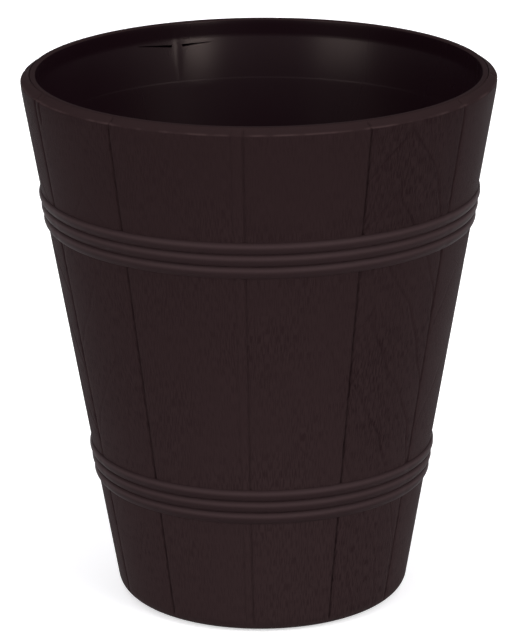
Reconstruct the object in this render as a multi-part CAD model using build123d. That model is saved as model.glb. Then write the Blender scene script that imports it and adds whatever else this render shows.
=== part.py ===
from build123d import *
import os
from math import hypot

# Barrel planter in moulded plastic, stood on the floor with its axis on Z.
# The origin is the middle of the foot, and the side in the photograph faces -Y.
# Sizes are in millimetres, and angles are in degrees, counted from the front towards +X.

# Outer pot: the barrel wall
height = 400.0
rim_radius = 175.0
base_radius = 107.4
shell_wall = 3.0
bevel_height = 4.3
bevel_width = 7.0
base_rounding = 12.7

# Outer pot: the shelf and the skirt hidden under the bevelled rim
shelf_thickness = 3.5
skirt_thickness = 2.2
skirt_depth = 8.0

# Outer pot: the floor, raised in the middle to leave room for the drain plug
floor_thickness = 4.0
recess_radius = 60.0
recess_height = 5.0

# Outer pot: the stave joints, round-bottomed grooves up the wall and over the bevel
joint_radius = 1.7
joint_depth = 1.4
front_joint_angles = (-67.0, -37.3, -6.7, -3.8, 26.7, 57.0)
hidden_stave_count = 8

# Outer pot: the hoops, each of half-round ribs that run over the staves
rib_height = 9.2
rib_stand_out = 2.2
rib_bury = 0.4
ribs_per_hoop = 3
hoop_top_heights = (315.0, 119.2)

# Inner pot: the liner, whose lip fills the rebate in the rim
liner_wall = 2.4
lip_width = 4.2
lip_thickness = 2.5
lip_rounding = 1.1
lip_side_gap = 0.3
lip_under_gap = 0.3
skirt_gap = 0.3

# Inner pot: an upright band under the lip, then a taper with one small ledge
band_depth = 12.5
band_blend = 28.0
ledge_depth = 44.5
ledge_height = 0.9
ledge_step = 0.6
ledge_blend = 2.0

# Inner pot: the floor and the notched foot ring that stands on the outer pot's floor
foot_ring_height = 12.0
foot_ring_radius = 79.0
foot_ring_width = 3.0
foot_notch_width = 14.0
foot_notch_height = 7.0
foot_notch_count = 6
liner_floor_thickness = 3.0
liner_floor_rounding = 10.0
drain_hole_radius = 5.0
drain_hole_circle = 50.0
drain_hole_count = 6

# Inner pot: two lifting points, each a web between two slots that narrow away from it
web_width = 8.2
web_angles = (-157.2, 22.8)
slot_depth = 17.8
slot_thick_end = 3.2
slot_thin_end = 0.8
long_slot_length = 29.5
long_slot_rise = 3.1
short_slot_length = 23.5
short_slot_rise = 1.1

# Drain plug: pushed up into the floor of the outer pot
plug_hole_radius = 11.0
plug_fit = 0.08
plug_stand_up = 1.5
plug_rounding = 0.8
plug_flange_radius = 16.0
plug_flange_thickness = 2.6
coin_slot_width = 2.0
coin_slot_depth = 1.2
coin_slot_length = 22.0

# Where the pieces meet
bevel_foot = height - bevel_height
taper = (rim_radius - base_radius) / bevel_foot
slant = hypot(1.0, taper)
rebate_radius = rim_radius - bevel_width
lip_outer_radius = rebate_radius - lip_side_gap
lip_inner_radius = lip_outer_radius - lip_width
lip_under = height - lip_thickness
band_foot = height - band_depth
ledge_top = height - ledge_depth
ledge_foot = ledge_top - ledge_height
plug_seat = recess_height
raised_floor_top = recess_height + floor_thickness
liner_floor_under = floor_thickness + foot_ring_height


def wall_radius(z):
    """Outside radius of the barrel wall at a height."""
    return base_radius + taper * z


def shell_inner_radius(z):
    """Inside radius of the barrel wall at a height."""
    return wall_radius(z) - shell_wall * slant


def liner_radius(z):
    """Inside radius of the liner at a height below its upright band."""
    step = ledge_step if z <= ledge_foot else 0.0
    return lip_inner_radius - taper * (band_foot - z) - step


def turned(points, roundings):
    """A closed outline of (radius, height) points, some corners rounded, turned round Z."""
    face = make_face(Polyline(*[(r, 0, z) for r, z in points], close=True))
    for (r, z), radius in roundings:
        corner = face.vertices().sort_by_distance((r, 0, z))[0]
        face = fillet(corner, radius)
    return revolve(face, Axis.Z)


def rod(start, end, radius):
    """A round bar between two points."""
    run = end - start
    return extrude(Plane(origin=start, z_dir=run) * Circle(radius), run.length)


def stave_joint():
    """The cutter of one joint, at the front: up the wall, then in over the bevel."""
    outset = joint_radius - joint_depth
    foot = Vector(0, -wall_radius(0) - outset, 0)
    corner = Vector(0, -rim_radius - outset, bevel_foot)
    lip = Vector(0, -rebate_radius, height + outset)
    knuckle = Pos(corner) * Sphere(joint_radius)
    return rod(foot, corner, joint_radius) + knuckle + rod(corner, lip, joint_radius)


def stave_joint_angles():
    """The joints seen in front, and the hidden ones that share out the rest of the circle."""
    first = front_joint_angles[-1]
    pitch = (front_joint_angles[0] + 360 - first) / hidden_stave_count
    hidden = [first + pitch * i for i in range(1, hidden_stave_count)]
    return list(front_joint_angles) + hidden


def rib(top):
    """One half-round rib of a hoop, with its root sunk below the bottom of the joints."""
    foot = top - rib_height
    middle = (top + foot) / 2
    sunk = joint_depth + rib_bury
    upper = (wall_radius(top), 0, top)
    crown = (wall_radius(middle) + rib_stand_out, 0, middle)
    lower = (wall_radius(foot), 0, foot)
    root = Polyline(lower, (lower[0] - sunk, 0, foot), (upper[0] - sunk, 0, top), upper)
    return revolve(make_face(ThreePointArc(upper, crown, lower) + root), Axis.Z)


def outer_shell():
    """The barrel: staved wall, hoops, bevelled rim with its shelf and skirt, and floor."""
    skirt_inner = lip_inner_radius + liner_wall + skirt_gap
    skirt_outer = skirt_inner + skirt_thickness
    shelf_top = lip_under - lip_under_gap
    shelf_under = shelf_top - shelf_thickness
    skirt_foot = shelf_under - skirt_depth
    raised_radius = recess_radius + floor_thickness
    wall_foot = (base_radius, 0)
    inner_foot = (shell_inner_radius(floor_thickness), floor_thickness)
    outline = [
        (0, recess_height),
        (recess_radius, recess_height),
        (recess_radius, 0),
        wall_foot,
        (rim_radius, bevel_foot),
        (rebate_radius, height),
        (rebate_radius, shelf_top),
        (skirt_inner, shelf_top),
        (skirt_inner, skirt_foot),
        (skirt_outer, skirt_foot),
        (skirt_outer, shelf_under),
        (shell_inner_radius(shelf_under), shelf_under),
        inner_foot,
        (raised_radius, floor_thickness),
        (raised_radius, raised_floor_top),
        (0, raised_floor_top),
    ]
    roundings = [(wall_foot, base_rounding), (inner_foot, base_rounding - shell_wall)]
    shell = turned(outline, roundings)
    joint = stave_joint()
    shell -= [Rot(0, 0, angle) * joint for angle in stave_joint_angles()]
    for hoop_top in hoop_top_heights:
        shell += [rib(hoop_top - i * rib_height) for i in range(ribs_per_hoop)]
    bottom = (Align.CENTER, Align.CENTER, Align.MIN)
    return shell - Pos(0, 0, plug_seat) * Cylinder(plug_hole_radius, floor_thickness, align=bottom)


def slot(length, rise, side):
    """The cutter of one lifting slot, beside a web at the front, on its +X or -X side."""
    near = side * web_width / 2
    far = near + side * length
    z = height - slot_depth
    corners = [
        (near, z - slot_thick_end / 2),
        (far, z + rise - slot_thin_end / 2),
        (far, z + rise + slot_thin_end / 2),
        (near, z + slot_thick_end / 2),
    ]
    face = make_face(Polyline(*[(x, 0, z) for x, z in corners], close=True))
    reach = lip_outer_radius - liner_radius(z) + length**2 / lip_inner_radius
    return Pos(0, -lip_outer_radius, 0) * extrude(face, reach, dir=(0, 1, 0))


def liner():
    """The smooth inner pot: lip, upright band, ledge, tapering wall, floor and foot ring."""
    band_radius = lip_inner_radius + liner_wall
    outer = liner_wall * slant
    floor_top = liner_floor_under + liner_floor_thickness
    lip_inside = (lip_inner_radius, height)
    lip_outside = (lip_outer_radius, height)
    band_inside = (lip_inner_radius, band_foot)
    band_outside = (band_radius, band_foot)
    ledge_inside = (liner_radius(ledge_top), ledge_top)
    inner_foot = (liner_radius(floor_top), floor_top)
    outer_foot = (liner_radius(liner_floor_under) + outer, liner_floor_under)
    outline = [
        (0, liner_floor_under),
        outer_foot,
        (liner_radius(ledge_foot) + outer, ledge_foot - liner_wall / 2),
        (liner_radius(ledge_top) + outer, ledge_top - liner_wall / 2),
        band_outside,
        (band_radius, lip_under),
        (lip_outer_radius, lip_under),
        lip_outside,
        lip_inside,
        band_inside,
        ledge_inside,
        (liner_radius(ledge_foot), ledge_foot),
        inner_foot,
        (0, floor_top),
    ]
    roundings = [
        (lip_inside, lip_rounding),
        (lip_outside, lip_rounding),
        (band_inside, band_blend),
        (band_outside, band_blend),
        (ledge_inside, ledge_blend),
        (inner_foot, liner_floor_rounding),
        (outer_foot, liner_floor_rounding + liner_wall),
    ]
    pot = turned(outline, roundings)
    bottom = (Align.CENTER, Align.CENTER, Align.MIN)
    ring = Cylinder(foot_ring_radius + foot_ring_width, foot_ring_height, align=bottom)
    ring -= Cylinder(foot_ring_radius, foot_ring_height, align=bottom)
    notch = Box(3 * foot_ring_width, foot_notch_width, foot_notch_height, align=bottom)
    ring -= PolarLocations(foot_ring_radius, foot_notch_count) * notch
    pot += Pos(0, 0, floor_thickness) * ring
    hole = Pos(0, 0, liner_floor_under) * Cylinder(drain_hole_radius, 3 * liner_floor_thickness)
    pot -= [hole] + PolarLocations(drain_hole_circle, drain_hole_count) * hole
    slots = [slot(long_slot_length, long_slot_rise, 1), slot(short_slot_length, short_slot_rise, -1)]
    for angle in web_angles:
        pot -= [Rot(0, 0, angle) * cutter for cutter in slots]
    return pot


def drain_plug():
    """The push-in plug: a stem through the floor, and a flange under it with a coin slot."""
    stem_radius = plug_hole_radius - plug_fit
    stem_top = raised_floor_top + plug_stand_up
    flange_under = plug_seat - plug_flange_thickness
    outline = [
        (0, flange_under),
        (plug_flange_radius, flange_under),
        (plug_flange_radius, plug_seat),
        (stem_radius, plug_seat),
        (stem_radius, stem_top),
        (0, stem_top),
    ]
    roundings = [((plug_flange_radius, flange_under), plug_rounding), ((stem_radius, stem_top), plug_rounding)]
    plug = turned(outline, roundings)
    return plug - Pos(0, 0, flange_under) * Box(coin_slot_length, coin_slot_width, 2 * coin_slot_depth)


os.makedirs("parts", exist_ok=True)
for node, shape in (("outer_shell", outer_shell()), ("liner", liner()), ("drain_plug", drain_plug())):
    export_step(shape, f"parts/{node}.step")
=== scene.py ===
# Barrel planter: a staved outer pot with ribbed hoops, a smooth inner pot that lifts out, and a drain plug.
import bmesh
import bpy
import math
import numpy as np
from mathutils import Matrix, Vector


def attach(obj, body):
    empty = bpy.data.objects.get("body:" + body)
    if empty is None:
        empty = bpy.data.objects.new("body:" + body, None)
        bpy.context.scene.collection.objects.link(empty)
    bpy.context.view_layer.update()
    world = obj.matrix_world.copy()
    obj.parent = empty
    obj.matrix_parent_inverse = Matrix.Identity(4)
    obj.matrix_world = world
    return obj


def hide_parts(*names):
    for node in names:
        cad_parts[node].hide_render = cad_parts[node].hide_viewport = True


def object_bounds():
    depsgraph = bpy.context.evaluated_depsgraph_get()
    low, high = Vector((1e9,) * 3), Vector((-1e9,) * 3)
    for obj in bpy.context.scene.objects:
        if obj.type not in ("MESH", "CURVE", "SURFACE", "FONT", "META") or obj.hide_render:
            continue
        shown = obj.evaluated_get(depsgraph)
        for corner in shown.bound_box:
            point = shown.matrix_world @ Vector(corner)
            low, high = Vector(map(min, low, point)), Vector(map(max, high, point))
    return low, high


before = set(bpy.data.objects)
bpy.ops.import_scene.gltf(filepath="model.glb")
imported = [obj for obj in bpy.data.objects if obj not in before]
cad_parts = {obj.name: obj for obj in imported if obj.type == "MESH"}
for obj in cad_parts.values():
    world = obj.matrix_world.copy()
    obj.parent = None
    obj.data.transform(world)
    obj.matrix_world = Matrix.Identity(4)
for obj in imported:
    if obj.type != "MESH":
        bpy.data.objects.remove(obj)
cad_low, cad_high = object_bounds()


# The staves: the wall of the outer pot, moulded in one shot of dark brown polypropylene.
# The mould copies upright boards with open joints and worn grain, and a bevelled rim over their ends.
# The wall comes as three rings, above, between and below the hoops, so that each mesh stays light.
height = cad_high.z
rim_radius = cad_high.x
base_radius = 0.1074
shell_wall = 0.003
bevel_height = 0.0043
bevel_width = 0.007
bevel_foot = height - bevel_height
rebate_radius = rim_radius - bevel_width
taper = (rim_radius - base_radius) / bevel_foot
rib_height = 0.0092
hoop_tops = (0.315, 0.1192)
hoop_foots = tuple(top - 3 * rib_height for top in hoop_tops)

joint_depth = 0.0014
joint_half_width = 0.0012
joint_shoulder = 0.00035
joint_shoulder_width = 0.003
front_joints = (-67.0, -37.3, -6.7, -3.8, 26.7, 57.0)
hidden_staves = 8
hidden_pitch = (front_joints[0] + 360 - front_joints[-1]) / hidden_staves
hidden_joints = tuple(front_joints[-1] + hidden_pitch * i for i in range(1, hidden_staves))
joint_angles = np.array(front_joints + hidden_joints)
joint_strengths = np.ones(len(joint_angles))
joint_strengths[2:4] = (0.35, 0.6)
split_angle = -64.3
split_foot = height - 0.022
split_fade = 0.006
bevel_cut_turn = 0.48
bevel_cut_drop = 0.85
stave_columns = 84
strip_columns = 12
sector_count = 60

# Each board's grain is a row of nested arches down a leaning centre line, whose legs run on as straight
# grain. In metres: the centre line's place across the board at the rim, its lean, the first arch's depth
# below the rim, the step down to the next, how tall the arches are at the rim, and how deep the lines
# are cut, from 0 to 1.
board_figures = [
    (0.004, 0.05, 0.060, 0.062, 0.030, 0.40),
    (-0.012, 0.06, 0.050, 0.070, 0.024, 0.32),
    (0.0, 0.0, 0.0, 0.100, 0.030, 0.1),
    (0.001, 0.0, 0.150, 0.095, -0.030, 0.4),
    (-0.0095, -0.13, 0.009, 0.046, 0.0216, 1.0),
    (0.006, 0.04, 0.110, 0.070, 0.020, 0.25),
    (0.012, 0.12, 0.030, 0.052, 0.024, 0.6),
    (-0.003, -0.02, 0.150, 0.090, -0.020, 0.45),
    (0.008, -0.08, 0.060, 0.060, 0.022, 0.5),
    (-0.010, 0.05, 0.130, 0.075, 0.030, 0.4),
    (0.013, 0.10, 0.015, 0.050, 0.020, 0.7),
    (0.002, -0.03, 0.140, 0.080, 0.026, 0.4),
    (-0.006, 0.07, 0.050, 0.058, 0.018, 0.6),
]
arch_growth = 0.3
arch_spread = 1.35
arch_narrowing = 1.5
arch_tip = 0.0020
arch_roundness = 0.625
sway = 0.0020
sway_length = 0.016
ripple = 0.0008
ripple_length = 0.0053
wear_top = 0.26
wear_reach = 0.05
wear_at_foot = 0.55
grain_depth = 0.0006
grain_half_width = 0.0010
rim_edge_round = 0.0005
rim_edge_round_height = 0.005


def wall_radius(z):
    """Outside radius of the staved wall at a height."""
    return base_radius + taper * z


def inner_wall_radius(z):
    """Inside radius of the staved wall at a height."""
    return wall_radius(z) - shell_wall * math.hypot(1, taper)


def ring_section(outline, rounded):
    """A closed wire outline of (radius, height) corners, with some rounded: {corner: (reach, segments)}."""
    bm = bmesh.new()
    corners = [bm.verts.new((r, 0, z)) for r, z in outline]
    for pair in zip(corners, corners[1:] + corners[:1]):
        bm.edges.new(pair)
    for corner, (reach, segments) in rounded.items():
        bmesh.ops.bevel(bm, geom=[corners[corner]], offset=reach, offset_type="OFFSET", segments=segments,
                        profile=0.5, affect="VERTICES", material=-1)
    return bm


def add_rows(bm, row, belongs):
    """Divides the wire edges whose two ends pass the test into rows of about the given height."""
    for edge in [e for e in bm.edges if all(belongs(v.co.x, v.co.z) for v in e.verts)]:
        cuts = math.ceil(edge.calc_length() / row) - 1
        if cuts > 0:
            bmesh.ops.subdivide_edges(bm, edges=[edge], cuts=cuts)


def spin_ring(bm, name, columns, sharp_angle=40):
    """Turns the section into one sector, repeats it round Z and gives the closed ring as an object."""
    sector = 2 * math.pi / sector_count
    bmesh.ops.spin(bm, geom=bm.verts[:] + bm.edges[:], cent=(0, 0, 0), axis=(0, 0, 1),
                   angle=sector, steps=columns // sector_count)
    bmesh.ops.spin(bm, geom=bm.verts[:] + bm.edges[:] + bm.faces[:], cent=(0, 0, 0), axis=(0, 0, 1),
                   angle=2 * math.pi - sector, steps=sector_count - 1, use_duplicate=True)
    bmesh.ops.remove_doubles(bm, verts=bm.verts, dist=0.000002)
    bmesh.ops.recalc_face_normals(bm, faces=bm.faces)
    mesh = bpy.data.meshes.new(name)
    bm.to_mesh(mesh)
    bm.free()
    mesh.shade_smooth()
    mesh.set_sharp_from_angle(angle=math.radians(sharp_angle))
    ring = bpy.data.objects.new(name, mesh)
    bpy.context.scene.collection.objects.link(ring)
    return ring


def column_angles():
    """The angle of each upright mesh line, from the front towards +X, closer together at the joints."""
    angles = []
    for first, last in zip(joint_angles, np.append(joint_angles[1:], joint_angles[0] + 360)):
        columns = stave_columns if last - first > 10 else strip_columns
        step = np.arange(columns) + 0.5
        spacing = 1 - 0.6 * np.exp(-(step / 4) ** 2) - 0.6 * np.exp(-((columns - step) / 4) ** 2)
        share = np.concatenate([[0], np.cumsum(spacing)[:-1]]) / spacing.sum()
        angles.extend(first + share * (last - first))
    return np.array(angles)


def point_places(mesh):
    """The places of a mesh's points, one row each."""
    points = np.zeros(len(mesh.vertices) * 3)
    mesh.vertices.foreach_get("co", points)
    return points.reshape(-1, 3)


def move_points(mesh, points):
    """Puts a mesh's points at their new places."""
    mesh.vertices.foreach_set("co", points.ravel())
    mesh.update()


def angle_from_front(places):
    """The angle of each place round the pot, in degrees, from the front towards +X."""
    return np.degrees(np.arctan2(places[:, 0], -places[:, 1]))


def distance_round(angle, middle, radius):
    """How far round the pot each angle lies past another, in metres, the short way."""
    return np.radians((angle - middle + 180) % 360 - 180) * radius


def on_boards(angle):
    """The board that each angle lies on, and how far it is round from the board's middle, in radians."""
    turned = (angle - joint_angles[0]) % 360
    starts = joint_angles - joint_angles[0]
    board = np.searchsorted(starts, turned + 1e-6, side="right") - 1
    widths = np.diff(np.append(starts, 360))
    return board, np.radians(turned - starts[board] - widths[board] / 2)


def growth_rings(board, across, up):
    """A board's arch figure, whose whole numbers are its main lines, how fast it changes, and its depth."""
    centre, lean, first, step, tallness, strength = np.array(board_figures)[board].T
    below = height - up
    wave = sway * np.sin(below / sway_length + 2.1 * board)
    wave = wave + ripple * np.sin(below / ripple_length + 3.7 * board)
    aside = across - centre - lean * below + wave
    tall = np.maximum(tallness + arch_growth * below, 0.008)
    spread = arch_spread - arch_narrowing * below
    share = np.clip((np.hypot(aside, arch_tip) - arch_tip) / (spread * tall), 0.0001, 0.97)
    drop = (-np.log(1 - share)) ** arch_roundness
    rings = (below - first - tall * drop) / step
    steepness = arch_roundness * drop / (-np.log(1 - share)) / (1 - share) / spread
    worn = strength * (1 - wear_at_foot * np.clip((below - wear_top) / wear_reach, 0, 1))
    return rings, np.hypot(steepness, 1) / step, worn


def carve_staves(ring):
    """Gathers the upright mesh lines at the joints, then cuts the joints and the grain into the skin."""
    points = point_places(ring.data)
    columns = column_angles()
    radius = np.hypot(points[:, 0], points[:, 1])
    up = points[:, 2].copy()
    turn = np.arctan2(points[:, 1], points[:, 0]) % (2 * np.pi)
    angle = columns[np.rint(turn / (2 * np.pi) * len(columns)).astype(int) % len(columns)]

    inset = wall_radius(up) - radius
    over_bevel = bevel_foot + (rim_radius - radius) * bevel_height / bevel_width - up
    on_bevel = (up > bevel_foot - 0.001) & (np.abs(over_bevel) < 0.0008)
    on_bevel_share = np.clip((radius - rebate_radius) / 0.002, 0, 1)
    share = np.where(on_bevel, on_bevel_share, np.clip(1 - inset / joint_depth, 0, 1))

    cut = np.zeros(len(points))
    for joint, strength in zip(joint_angles, joint_strengths):
        away = np.abs(distance_round(angle, joint, radius))
        notch = np.clip(1 - (away / joint_half_width) ** 2, 0, 1) ** 1.5
        shoulder = np.exp(-((away / joint_shoulder_width) ** 2))
        cut = np.maximum(cut, strength * (joint_depth * notch + joint_shoulder * shoulder))
    away = np.abs(distance_round(angle, split_angle, radius))
    split = joint_depth * np.clip(1 - (away / joint_half_width) ** 2, 0, 1)
    split *= np.clip((up - split_foot) / split_fade, 0, 1)
    cut = np.maximum(cut, split) * share

    board, from_middle = on_boards(angle)
    rings, slope, strength = growth_rings(board, from_middle * radius, up)
    line = np.abs(rings - np.rint(rings)) / slope
    crowded = np.clip((0.5 / slope - 0.0008) / 0.002, 0, 1)
    grain = strength * crowded * np.exp(-((line / grain_half_width) ** 2))
    grain *= (rings > -0.5) * np.clip((bevel_foot - 0.001 - up) / 0.002, 0, 1)
    cut += share * grain_depth * grain
    cut += share * rim_edge_round * np.exp(-(((bevel_foot - up) / rim_edge_round_height) ** 2))

    lean_back = np.clip((up - bevel_foot + 0.001) / 0.002, 0, 1)
    radius -= cut * (1 - bevel_cut_turn * lean_back)
    points[:, 2] -= cut * bevel_cut_drop * lean_back
    points[:, 0] = radius * np.sin(np.radians(angle))
    points[:, 1] = -radius * np.cos(np.radians(angle))
    move_points(ring.data, points)


def lay_out_boards(ring):
    """Gives the skin a UV map in metres across and up each board, its figure, and how deep its grain is."""
    mesh = ring.data
    points = point_places(mesh)
    middles = np.zeros(len(mesh.polygons) * 3)
    mesh.polygons.foreach_get("center", middles)
    loop_point = np.zeros(len(mesh.loops), int)
    mesh.loops.foreach_get("vertex_index", loop_point)
    loop_counts = np.zeros(len(mesh.polygons), int)
    mesh.polygons.foreach_get("loop_total", loop_counts)
    board = np.repeat(on_boards(angle_from_front(middles.reshape(-1, 3)))[0], loop_counts)
    starts = joint_angles - joint_angles[0]
    widths = np.diff(np.append(starts, 360))
    middle = (joint_angles + widths / 2)[board]
    radius = np.hypot(points[:, 0], points[:, 1])[loop_point]
    across = distance_round(angle_from_front(points)[loop_point], middle, radius)
    up = points[:, 2][loop_point]
    layout = mesh.uv_layers.new(name="boards")
    layout.data.foreach_set("uv", np.stack([across + 0.37 * board, up + 0.61 * board], 1).ravel())
    rings, slope, strength = growth_rings(board, across, up)
    for name, values in (("figure", rings), ("ring_spacing", 1 / slope), ("worn_grain", strength)):
        mesh.attributes.new(name, "FLOAT", "CORNER").data.foreach_set("value", values)


def on_skin(r, z):
    """Whether a point of a section lies on the outside of the staved wall."""
    return r > wall_radius(z) - 1e-5


lip_under = 0.3975
shelf_top = 0.3972
shelf_under = 0.3937
skirt_foot = 0.3857
skirt_inner = 0.1662
skirt_outer = 0.1684
upper_foot = hoop_tops[0]
upper_section = ring_section([
    (wall_radius(upper_foot), upper_foot),
    (rim_radius, bevel_foot),
    (rebate_radius, height),
    (rebate_radius, shelf_top),
    (skirt_inner, shelf_top),
    (skirt_inner, skirt_foot),
    (skirt_outer, skirt_foot),
    (skirt_outer, shelf_under),
    (inner_wall_radius(shelf_under), shelf_under),
    (inner_wall_radius(upper_foot), upper_foot),
], {1: (0.0016, 7), 2: (0.0004, 3)})
add_rows(upper_section, 0.0012, on_skin)
add_rows(upper_section, 0.0012, lambda r, z: z > bevel_foot and r > rebate_radius + 0.0001)

middle_top = hoop_foots[0]
middle_foot = hoop_tops[1]
middle_section = ring_section([
    (wall_radius(middle_foot), middle_foot),
    (wall_radius(middle_top), middle_top),
    (inner_wall_radius(middle_top), middle_top),
    (inner_wall_radius(middle_foot), middle_foot),
], {})
add_rows(middle_section, 0.0018, on_skin)

lower_top = hoop_foots[1]
floor_top = 0.004
recess_height = 0.005
recess_radius = 0.060
raised_radius = 0.064
raised_top = 0.009
plug_hole_radius = 0.011
base_rounding_reach = 0.0107
lower_section = ring_section([
    (plug_hole_radius, recess_height),
    (recess_radius, recess_height),
    (recess_radius, 0),
    (base_radius, 0),
    (wall_radius(lower_top), lower_top),
    (inner_wall_radius(lower_top), lower_top),
    (inner_wall_radius(floor_top), floor_top),
    (raised_radius, floor_top),
    (raised_radius, raised_top),
    (plug_hole_radius, raised_top),
], {3: (base_rounding_reach, 10), 6: (0.008, 5)})
add_rows(lower_section, 0.0013, on_skin)

column_count = len(column_angles())
barrel_rings = [
    spin_ring(upper_section, "barrel_upper", column_count),
    spin_ring(middle_section, "barrel_middle", column_count),
    spin_ring(lower_section, "barrel_lower", column_count),
]

stave_colour = (0.0208, 0.0117, 0.0121, 1)
# Painted bounce light: a paler brown mixed in towards the foot, in place of light thrown up from the floor.
bounce_light_colour = (0.0320, 0.0194, 0.0196, 1)
pore_colour = (0.0140, 0.0070, 0.0077, 1)
# Painted highlight: a paler brown for the bevel and an uneven bright line along its rounded foot.
highlight_colour = (0.0440, 0.0270, 0.0268, 1)
patch_scale = 14
patch_ramp = [(0.36, 0.45), (0.56, 1)]
pore_size = (0.0007, 0.0072)
pore_depth = 0.00022
pore_ramp = [(0.36, 1), (0.50, 0)]
least_pores = 0.4
ring_line_half_width = 0.0014
ring_line_depth = 0.0002
ring_line_darkness = 0.5
fine_lines = 4
fine_line_strength = 0.2
# The painted bounce light's share: strongest at the floor, gone by this height, made uneven by the patches.
bounce_light_at_floor = 0.95
bounce_light_height = 0.42
bounce_light_strength = 0.8
bounce_light_patchiness = 0.5
# The painted highlight: its line along the bevel's foot, broken up by noise, and its share over the bevel.
highlight_edge_half_width = 0.0009
highlight_edge_scale = 70
highlight_edge_ramp = [(0.40, 0), (0.58, 1)]
bevel_highlight = 0.12
skin_texture_size = 0.0007
skin_texture_depth = 0.000015


class Finish:
    """A material in the making, with short ways to add the nodes that the finishes share."""

    def __init__(self, name):
        self.material = bpy.data.materials.new(name)
        self.material.use_nodes = True
        self.nodes = self.material.node_tree.nodes
        self.join = self.material.node_tree.links.new
        self.surface = self.nodes["Principled BSDF"].inputs

    def add(self, kind, **settings):
        """Adds a node with these settings."""
        node = self.nodes.new(kind)
        for key, value in settings.items():
            setattr(node, key, value)
        return node

    def feed(self, value, socket):
        """Gives a socket a plain value, or joins another socket to it."""
        if isinstance(value, bpy.types.NodeSocket):
            self.join(value, socket)
        else:
            socket.default_value = value

    def place(self):
        """The object's own coordinates."""
        return self.add("ShaderNodeTexCoord").outputs["Object"]

    def attribute(self, name):
        """A value that the mesh carries."""
        return self.add("ShaderNodeAttribute", attribute_name=name).outputs["Fac"]

    def stretch(self, place, scale):
        """Coordinates scaled by a different amount each way."""
        mapping = self.add("ShaderNodeMapping")
        mapping.inputs["Scale"].default_value = scale
        self.join(place, mapping.inputs["Vector"])
        return mapping.outputs["Vector"]

    def noise(self, place, scale, detail=2, **settings):
        """Soft noise from 0 to 1."""
        texture = self.add("ShaderNodeTexNoise", **settings)
        texture.inputs["Scale"].default_value = scale
        texture.inputs["Detail"].default_value = detail
        self.join(place, texture.inputs["Vector"])
        return texture.outputs["Fac"]

    def ramp(self, value, stops):
        """A value put through a ramp of (place, level) stops."""
        node = self.add("ShaderNodeValToRGB")
        elements = node.color_ramp.elements
        for element, (place, level) in zip(elements, stops):
            element.position = place
            element.color = (level, level, level, 1)
        self.join(value, node.inputs["Fac"])
        return node.outputs["Color"]

    def maths(self, operation, first, second=0):
        """One sum on two values."""
        node = self.add("ShaderNodeMath", operation=operation)
        self.feed(first, node.inputs[0])
        self.feed(second, node.inputs[1])
        return node.outputs[0]

    def blend(self, first, second, share):
        """A colour between two others."""
        node = self.add("ShaderNodeMix", data_type="RGBA")
        self.join(share, node.inputs[0])
        self.feed(first, node.inputs[6])
        self.feed(second, node.inputs[7])
        return node.outputs[2]

    def roughen(self, value, smoothest, roughest):
        """Varies the surface's roughness with a value."""
        node = self.add("ShaderNodeMapRange")
        node.inputs["To Min"].default_value = smoothest
        node.inputs["To Max"].default_value = roughest
        self.join(value, node.inputs["Value"])
        self.join(node.outputs["Result"], self.surface["Roughness"])

    def bump(self, height_map, depth, under=None, invert=False):
        """Fine relief, laid over another layer of it if one is given."""
        node = self.add("ShaderNodeBump", invert=invert)
        node.inputs["Distance"].default_value = depth
        self.join(height_map, node.inputs["Height"])
        if under:
            self.join(under, node.inputs["Normal"])
        return node.outputs["Normal"]


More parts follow.
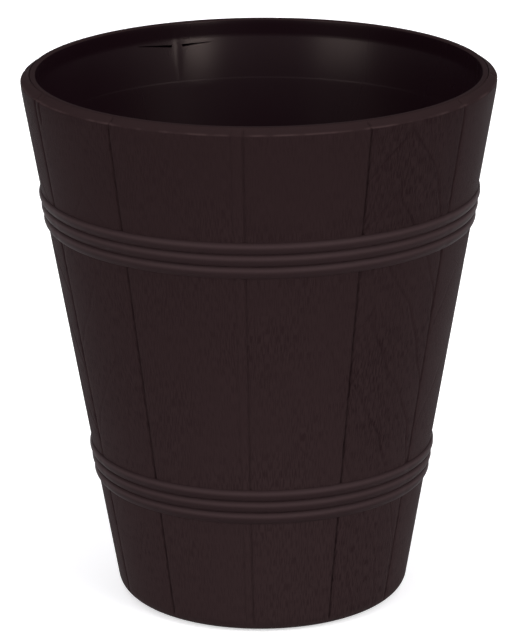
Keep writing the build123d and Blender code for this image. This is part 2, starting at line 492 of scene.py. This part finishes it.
def stave_plastic():
    """Satin brown plastic with pores and growth rings pressed in along the boards, a painted highlight on
    the bevel and along its foot, and painted bounce light that turns it paler towards the foot.
    """
    finish = Finish("stave_plastic")
    maths = finish.maths
    place = finish.place()
    upright = finish.add("ShaderNodeSeparateXYZ")
    finish.join(place, upright.inputs[0])
    up = upright.outputs["Z"]
    patchy = finish.noise(place, patch_scale, detail=3)
    patches = finish.ramp(patchy, patch_ramp)
    on_face = maths("LESS_THAN", up, bevel_foot - 0.0005)
    depth = maths("MULTIPLY", finish.attribute("worn_grain"), on_face)

    boards = finish.add("ShaderNodeUVMap", uv_map="boards").outputs["UV"]
    streaks = finish.stretch(boards, (1 / pore_size[0], 1 / pore_size[1], 1))
    pores = finish.ramp(finish.noise(streaks, 1, detail=0, noise_dimensions="2D"), pore_ramp)
    grain_share = maths("MULTIPLY", depth, 1 - least_pores)
    pore_share = maths("ADD", grain_share, maths("MULTIPLY", on_face, least_pores))
    worn_pores = maths("MULTIPLY", maths("MULTIPLY", pores, patches), pore_share)

    figure = finish.attribute("figure")
    spacing = finish.attribute("ring_spacing")
    main_distance = maths("MULTIPLY", maths("PINGPONG", figure, 0.5), spacing)
    main_line = maths("SUBTRACT", 1, maths("DIVIDE", main_distance, ring_line_half_width))
    fine_fraction = maths("PINGPONG", maths("MULTIPLY", figure, fine_lines), 0.5)
    fine_distance = maths("MULTIPLY", fine_fraction, maths("DIVIDE", spacing, fine_lines))
    fine_line = maths("SUBTRACT", 1, maths("DIVIDE", fine_distance, ring_line_half_width))
    weak_line = maths("MULTIPLY", maths("MAXIMUM", fine_line, 0), fine_line_strength)
    ring_line = maths("MAXIMUM", main_line, weak_line)
    worn_lines = maths("MULTIPLY", maths("MULTIPLY", ring_line, depth), patches)

    # Painted bounce light: paler towards the foot.
    bounce_light = maths("SUBTRACT", bounce_light_at_floor, maths("DIVIDE", up, bounce_light_height))
    uneven = maths("MULTIPLY", maths("SUBTRACT", patchy, 0.5), bounce_light_patchiness)
    bounce_light_share = maths("ADD", maths("MULTIPLY", bounce_light, bounce_light_strength), uneven)
    bounce_lit = finish.blend(stave_colour, bounce_light_colour, bounce_light_share)
    dark = maths("MAXIMUM", worn_pores, maths("MULTIPLY", worn_lines, ring_line_darkness))
    pored = finish.blend(bounce_lit, pore_colour, dark)
    # Painted highlight: a bright uneven line along the bevel's foot, and the bevel made paler.
    from_edge = maths("ABSOLUTE", maths("SUBTRACT", up, bevel_foot))
    edge = maths("MAXIMUM", maths("SUBTRACT", 1, maths("DIVIDE", from_edge, highlight_edge_half_width)), 0)
    highlight_mask = finish.ramp(finish.noise(place, highlight_edge_scale), highlight_edge_ramp)
    under_lip = maths("LESS_THAN", up, height - 0.0002)
    on_bevel = maths("MULTIPLY", maths("SUBTRACT", under_lip, on_face), bevel_highlight)
    painted_highlight = maths("MAXIMUM", maths("MULTIPLY", edge, highlight_mask), on_bevel)
    finish.join(finish.blend(pored, highlight_colour, painted_highlight), finish.surface["Base Color"])

    finish.roughen(patchy, 0.56, 0.66)
    finish.surface["Specular IOR Level"].default_value = 0.012
    finish.surface["Specular Tint"].default_value = (1, 0.85, 0.88, 1)
    pressed_pores = finish.bump(worn_pores, pore_depth, invert=True)
    pressed_lines = finish.bump(worn_lines, ring_line_depth, under=pressed_pores, invert=True)
    skin = finish.noise(place, 1 / skin_texture_size, detail=1)
    finish.join(finish.bump(skin, skin_texture_depth, under=pressed_lines), finish.surface["Normal"])
    return finish.material


stave_finish = stave_plastic()
for ring in barrel_rings:
    carve_staves(ring)
    lay_out_boards(ring)
    ring.data.materials.append(stave_finish)
    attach(ring, "outer_pot")
    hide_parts("outer_shell")


# The hoops: two bands of three half-round ribs, moulded in one with the wall and left smooth.
# Each is the stretch of wall between two rings of staves, so it closes the ends of their joints.
rib_stand_out = 0.0022
rib_segments = 12
hoop_columns = 720
rib_dip = 0.00025
rib_dip_width = 0.004
mould_line_angles = (-5.0, 25.6)
mould_line_depth = 0.00018
mould_line_half_width = 0.0006
hoop_colour = (0.0190, 0.0107, 0.0112, 1)
hoop_bloom_colour = (0.0215, 0.0120, 0.0126, 1)
# Painted highlight on the upper part of each rib, where the lamps' reflection falls.
rib_highlight_colour = (0.0410, 0.0255, 0.0262, 1)
rib_highlight_place = 0.27
rib_highlight_half_width = 0.17


def rib_arc(top):
    """Points of one half-round rib from its foot up to its top, on a circle through both and the crown."""
    foot = top - rib_height
    rise = rib_stand_out
    half = rib_height / 2
    arc_radius = (half**2 + rise**2) / (2 * rise)
    spread = math.asin(half / arc_radius)
    points = []
    for i in range(rib_segments + 1):
        turn = spread * (2 * i / rib_segments - 1)
        z = (top + foot) / 2 + arc_radius * math.sin(turn)
        points.append((wall_radius(z) + arc_radius * math.cos(turn) - arc_radius + rise, z))
    return points


def settle_hoop(hoop, top):
    """Dips the ribs a little at the joints, cuts the mould lines, and marks where a highlight is painted on
    each rib.
    """
    mesh = hoop.data
    points = point_places(mesh)
    radius = np.hypot(points[:, 0], points[:, 1])
    angle = angle_from_front(points)
    proud = np.clip((radius - wall_radius(points[:, 2])) / rib_stand_out, 0, 1)
    cut = np.zeros(len(points))
    for joint in joint_angles:
        away = distance_round(angle, joint, radius)
        cut = np.maximum(cut, rib_dip * np.exp(-((away / rib_dip_width) ** 2)))
    for line in mould_line_angles:
        away = distance_round(angle, line, radius)
        cut += mould_line_depth * np.exp(-((away / mould_line_half_width) ** 2))
    points[:, :2] *= (1 - cut * proud / radius)[:, None]
    move_points(mesh, points)
    # Painted highlight: the mask lies a little below the top of each rib.
    below_top = (top - points[:, 2]) / rib_height
    from_rubbed = (below_top - np.floor(below_top) - rib_highlight_place) / rib_highlight_half_width
    painted_highlight = np.exp(-(from_rubbed**2)) * (proud > 0)
    mesh.attributes.new("painted_highlight", "FLOAT", "POINT").data.foreach_set("value", painted_highlight)


def hoop_plastic():
    """The same brown plastic without grain, a little smoother, with a painted highlight on the upper part
    of each rib.
    """
    finish = Finish("hoop_plastic")
    place = finish.place()
    patchy = finish.noise(place, 30, detail=3)
    colour = finish.blend(hoop_colour, hoop_bloom_colour, patchy)
    # Painted highlight mixed in where the mask marks it.
    painted_highlight = finish.blend(colour, rib_highlight_colour, finish.attribute("painted_highlight"))
    finish.join(painted_highlight, finish.surface["Base Color"])
    finish.roughen(patchy, 0.46, 0.56)
    finish.surface["Specular IOR Level"].default_value = 0.022
    skin = finish.noise(place, 1 / skin_texture_size)
    finish.join(finish.bump(skin, skin_texture_depth), finish.surface["Normal"])
    return finish.material


hoop_finish = hoop_plastic()
for name, top, foot in zip(("hoop_upper", "hoop_lower"), hoop_tops, hoop_foots):
    ribs = []
    for i in (2, 1, 0):
        ribs += rib_arc(top - i * rib_height)[0 if i == 2 else 1:]
    section = ring_section(ribs + [(inner_wall_radius(top), top), (inner_wall_radius(foot), foot)], {})
    hoop = spin_ring(section, name, hoop_columns, sharp_angle=60)
    settle_hoop(hoop, top)
    hoop.data.materials.append(hoop_finish)
    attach(hoop, "outer_pot")
    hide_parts("outer_shell")


# The inner pot: a smooth liner of the same brown plastic, its colour painted much darker with the shade
# inside the pot, moulded against a polished core, so it shines.
# Its lip fills the rebate in the rim, and its foot ring stands on the outer pot's floor.
lip_outer_radius = rebate_radius - 0.0003
lip_width = 0.0042
lip_inner_radius = lip_outer_radius - lip_width
liner_wall = 0.0024
liner_columns = 720
band_foot = height - 0.0125
ledge_top = height - 0.0445
ledge_foot = ledge_top - 0.0010
ledge_step = 0.00007
liner_outer = liner_wall * math.hypot(1, taper)
foot_ring_radius = 0.079
foot_ring_width = 0.003
liner_floor_under = 0.016
liner_floor_top = 0.019
drain_hole_radius = 0.005
drain_hole_circle = 0.050
drain_hole_count = 6


def liner_radius(z):
    """Inside radius of the liner at a height below its upright band."""
    return lip_inner_radius - taper * (band_foot - z) - ledge_step * (z <= ledge_foot)


liner_section = ring_section([
    (drain_hole_radius, liner_floor_under),
    (foot_ring_radius, liner_floor_under),
    (foot_ring_radius, floor_top),
    (foot_ring_radius + foot_ring_width, floor_top),
    (foot_ring_radius + foot_ring_width, liner_floor_under),
    (liner_radius(liner_floor_under) + liner_outer, liner_floor_under),
    (liner_radius(ledge_foot) + liner_outer, ledge_foot - liner_wall / 2),
    (liner_radius(ledge_top) + liner_outer, ledge_top - liner_wall / 2),
    (lip_inner_radius + liner_wall, band_foot),
    (lip_inner_radius + liner_wall, lip_under),
    (lip_outer_radius, lip_under),
    (lip_outer_radius, height),
    (lip_inner_radius, height),
    (lip_inner_radius, band_foot),
    (liner_radius(ledge_top), ledge_top),
    (liner_radius(ledge_foot), ledge_foot),
    (liner_radius(liner_floor_top), liner_floor_top),
    (drain_hole_radius, liner_floor_top),
], {5: (0.0104, 6), 8: (0.0024, 4), 11: (0.0011, 5), 12: (0.0011, 6), 13: (0.0016, 8),
    14: (0.0004, 4), 15: (0.0003, 3), 16: (0.0084, 8)})
add_rows(liner_section, 0.004, lambda r, z: z > liner_floor_top - 1e-5 and r < lip_inner_radius + 1e-5)
liner = spin_ring(liner_section, "inner_pot_liner", liner_columns)

web_angles = (-157.2, 22.8)
web_rise = 0.0002
web_half_width = 0.0032
web_foot = height - 0.038
weld_rise = 0.0001
weld_half_width = 0.0013
weld_foot = liner_floor_top + 0.012


def raise_webs(pot):
    """Swells the wall inwards over each lifting web, and leaves a fine weld line from there down."""
    mesh = pot.data
    points = point_places(mesh)
    radius = np.hypot(points[:, 0], points[:, 1])
    up = points[:, 2]
    angle = angle_from_front(points)
    inside = (up > weld_foot) & (up < band_foot + 0.002) & (radius < liner_radius(up) + liner_wall / 2)
    on_web = np.clip((up - web_foot) / 0.012, 0, 1) * np.clip((band_foot - up) / 0.003, 0, 1)
    swell = np.zeros(len(points))
    for web_angle in web_angles:
        away = distance_round(angle, web_angle, radius)
        swell += web_rise * on_web * np.exp(-((away / web_half_width) ** 2))
        swell += weld_rise * np.exp(-((away / weld_half_width) ** 2))
    points[:, :2] *= (1 - swell * inside / radius)[:, None]
    move_points(mesh, points)


raise_webs(liner)

web_width = 0.0082
slot_height = height - 0.0178
slot_thick_end = 0.0020
slot_thin_end = 0.0004
slots = ((0.0295, 0.0031, 1), (0.0235, 0.0011, -1))
foot_notch_width = 0.014
foot_notch_height = 0.007
foot_notch_count = 6


def wedge_cutter(bm, length, rise, side, angle):
    """One lifting slot's cutter: a thin wedge that points away from the web, through the wall."""
    near = side * web_width / 2
    far = near + side * length
    corners = [(near, -slot_thick_end / 2), (far, rise - slot_thin_end / 2),
               (far, rise + slot_thin_end / 2), (near, slot_thick_end / 2)]
    face = bm.faces.new([bm.verts.new((x, -lip_outer_radius, slot_height + z)) for x, z in corners])
    extruded = bmesh.ops.extrude_face_region(bm, geom=[face])["geom"]
    moved = [v for v in extruded if isinstance(v, bmesh.types.BMVert)]
    bmesh.ops.translate(bm, verts=moved, vec=(0, 0.014, 0))
    bmesh.ops.rotate(bm, cent=(0, 0, 0), verts=list(face.verts) + moved,
                     matrix=Matrix.Rotation(math.radians(angle), 3, "Z"))


cutters = bmesh.new()
for web_angle in web_angles:
    for length, rise, side in slots:
        wedge_cutter(cutters, length, rise, side, web_angle)
for i in range(drain_hole_count):
    turn = 2 * math.pi * i / drain_hole_count
    drill = Matrix.Translation((drain_hole_circle * math.cos(turn), drain_hole_circle * math.sin(turn),
                                liner_floor_top))
    bmesh.ops.create_cone(cutters, cap_ends=True, segments=40, radius1=drain_hole_radius,
                          radius2=drain_hole_radius, depth=0.012, matrix=drill)
for i in range(foot_notch_count):
    notch_size = (3 * foot_ring_width, foot_notch_width, 2 * foot_notch_height)
    notch = (Matrix.Rotation(2 * math.pi * i / foot_notch_count, 4, "Z")
             @ Matrix.Translation((foot_ring_radius, 0, floor_top)) @ Matrix.Diagonal(notch_size + (1,)))
    bmesh.ops.create_cube(cutters, size=1, matrix=notch)
bmesh.ops.recalc_face_normals(cutters, faces=cutters.faces)
cutter_mesh = bpy.data.meshes.new("slot_cutters")
cutters.to_mesh(cutter_mesh)
cutters.free()
cutter = bpy.data.objects.new("slot_cutters", cutter_mesh)
bpy.context.scene.collection.objects.link(cutter)
cut = liner.modifiers.new("slots", "BOOLEAN")
cut.operation = "DIFFERENCE"
cut.solver = "EXACT"
cut.object = cutter
bpy.context.view_layer.update()
liner.data = bpy.data.meshes.new_from_object(liner.evaluated_get(bpy.context.evaluated_depsgraph_get()))
liner.modifiers.clear()
bpy.data.objects.remove(cutter)


# Painted shade: the liner's brown, flow marks too, is far darker than the staves', for the shade inside the
# pot.
shaded_liner_colour = (0.0078, 0.0024, 0.0042, 1)
shaded_flow_mark_colour = (0.0096, 0.0032, 0.0056, 1)


def liner_plastic():
    """Polished brown plastic darkened with painted shade, with faint flow marks, and a shine that varies a
    little.
    """
    finish = Finish("liner_plastic")
    flow = finish.noise(finish.stretch(finish.place(), (14, 14, 4)), 1, detail=3)
    finish.join(finish.blend(shaded_liner_colour, shaded_flow_mark_colour, flow), finish.surface["Base Color"])
    finish.roughen(flow, 0.24, 0.32)
    finish.surface["Specular IOR Level"].default_value = 0.42
    finish.surface["Specular Tint"].default_value = (1, 0.82, 0.74, 1)
    return finish.material


liner.data.materials.clear()
liner.data.materials.append(liner_plastic())
liner.data.materials.append(stave_finish)
for face in liner.data.polygons:
    face.material_index = int(face.center.z > lip_under and face.normal.z > 0.3)
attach(liner, "inner_pot")
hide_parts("liner")


# The drain plug: a push-in rubber stopper under the floor, with a slot for a coin.
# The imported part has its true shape, so only its finish is set here.
rubber_colour = (0.010, 0.008, 0.008, 1)
bloom_colour = (0.018, 0.015, 0.015, 1)
grit_scale = 900
grit_depth = 0.00003


def plug_rubber():
    """Matt black rubber with a fine dusty bloom."""
    finish = Finish("plug_rubber")
    grit = finish.noise(finish.place(), grit_scale)
    finish.join(finish.blend(rubber_colour, bloom_colour, grit), finish.surface["Base Color"])
    finish.surface["Roughness"].default_value = 0.8
    finish.surface["Specular IOR Level"].default_value = 0.3
    finish.join(finish.bump(grit, grit_depth), finish.surface["Normal"])
    return finish.material


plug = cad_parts["drain_plug"]
plug.data.materials.clear()
plug.data.materials.append(plug_rubber())


# The studio: a wide white floor that the pot stands on, under a soft light overhead and one from each side.
# Two softboxes lower down give the two soft reflections inside the pot. The floor keeps the pot's shadow,
# and its glow for the camera brings it up to plain white.
floor_size = 8
floor_glow = 0.5
studio = bmesh.new()
bmesh.ops.create_grid(studio, x_segments=1, y_segments=1, size=floor_size)
floor_mesh = bpy.data.meshes.new("studio_floor")
studio.to_mesh(floor_mesh)
studio.free()
floor = bpy.data.objects.new("studio_floor", floor_mesh)
bpy.context.scene.collection.objects.link(floor)
floor_finish = Finish("studio_floor")
floor_finish.surface["Base Color"].default_value = (0.9, 0.9, 0.9, 1)
floor_finish.surface["Roughness"].default_value = 0.9
floor_finish.surface["Specular IOR Level"].default_value = 0
rays = floor_finish.add("ShaderNodeLightPath").outputs
seen = floor_finish.maths("MAXIMUM", rays["Is Camera Ray"], rays["Is Glossy Ray"])
seen = floor_finish.maths("MAXIMUM", seen, rays["Is Transmission Ray"])
glow = floor_finish.add("ShaderNodeEmission")
floor_finish.join(floor_finish.maths("MULTIPLY", seen, floor_glow), glow.inputs["Strength"])
both = floor_finish.add("ShaderNodeAddShader")
floor_finish.join(floor_finish.nodes["Principled BSDF"].outputs[0], both.inputs[0])
floor_finish.join(glow.outputs[0], both.inputs[1])
floor_finish.join(both.outputs[0], floor_finish.nodes["Material Output"].inputs["Surface"])
floor_mesh.materials.append(floor_finish.material)

world = bpy.data.worlds.new("studio")
bpy.context.scene.world = world
world.use_nodes = True
sky = world.node_tree.nodes["Background"].inputs
sky["Color"].default_value = (0.93, 0.90, 1, 1)
sky["Strength"].default_value = 0.35

# Each sun: its name, where it stands round the pot and how high, in degrees, how wide it is, and its power.
suns = (("overhead", 0, 90, 60, 0.8), ("key_right", 50, 35, 30, 1.34), ("key_left", -50, 35, 30, 0.95))
for name, angle, elevation, spread, power in suns:
    data = bpy.data.lights.new(name, "SUN")
    data.energy = power
    data.angle = math.radians(spread)
    sun = bpy.data.objects.new(name, data)
    turn = math.radians(angle)
    level = math.cos(math.radians(elevation))
    towards = Vector((level * math.sin(turn), -level * math.cos(turn), math.sin(math.radians(elevation))))
    sun.rotation_euler = towards.to_track_quat("Z", "Y").to_euler()
    bpy.context.scene.collection.objects.link(sun)

# Each softbox: its name, where it stands round the pot, its height and width in metres, and its power.
softboxes = (("softbox_right", 33, 0.48, 0.5, 6), ("softbox_left", -46, 0.48, 1.1, 4.5))
softbox_distance = 2.2
softbox_length = 0.5
softbox_aim = Vector((0, 0, 0.25))
for name, angle, lamp_height, lamp_width, power in softboxes:
    data = bpy.data.lights.new(name, "AREA")
    data.shape = "RECTANGLE"
    data.size = lamp_width
    data.size_y = softbox_length
    data.energy = power
    box = bpy.data.objects.new(name, data)
    turn = math.radians(angle)
    box.location = (softbox_distance * math.sin(turn), -softbox_distance * math.cos(turn), lamp_height)
    box.rotation_euler = (softbox_aim - box.location).to_track_quat("-Z", "Y").to_euler()
    bpy.context.scene.collection.objects.link(box)


# The camera: in front and a little above the rim, far back, tipped down and rolled by under half a degree.
image_height = 633
focal_pixels = 3796
camera_place = (0.00354, -2.7008, 1.0640)
look_down = 0.3061
roll = -0.0074
camera_data = bpy.data.cameras.new("camera")
camera_data.sensor_width = 36
camera_data.lens = focal_pixels / image_height * camera_data.sensor_width
camera = bpy.data.objects.new("camera", camera_data)
bpy.context.scene.collection.objects.link(camera)
camera.matrix_world = (Matrix.Translation(camera_place)
                       @ Matrix.Rotation(math.pi / 2 - look_down, 4, "X") @ Matrix.Rotation(roll, 4, "Z"))
camera_data.clip_end = 50
bpy.context.scene.camera = camera
bpy.context.scene.view_settings.view_transform = "Standard"
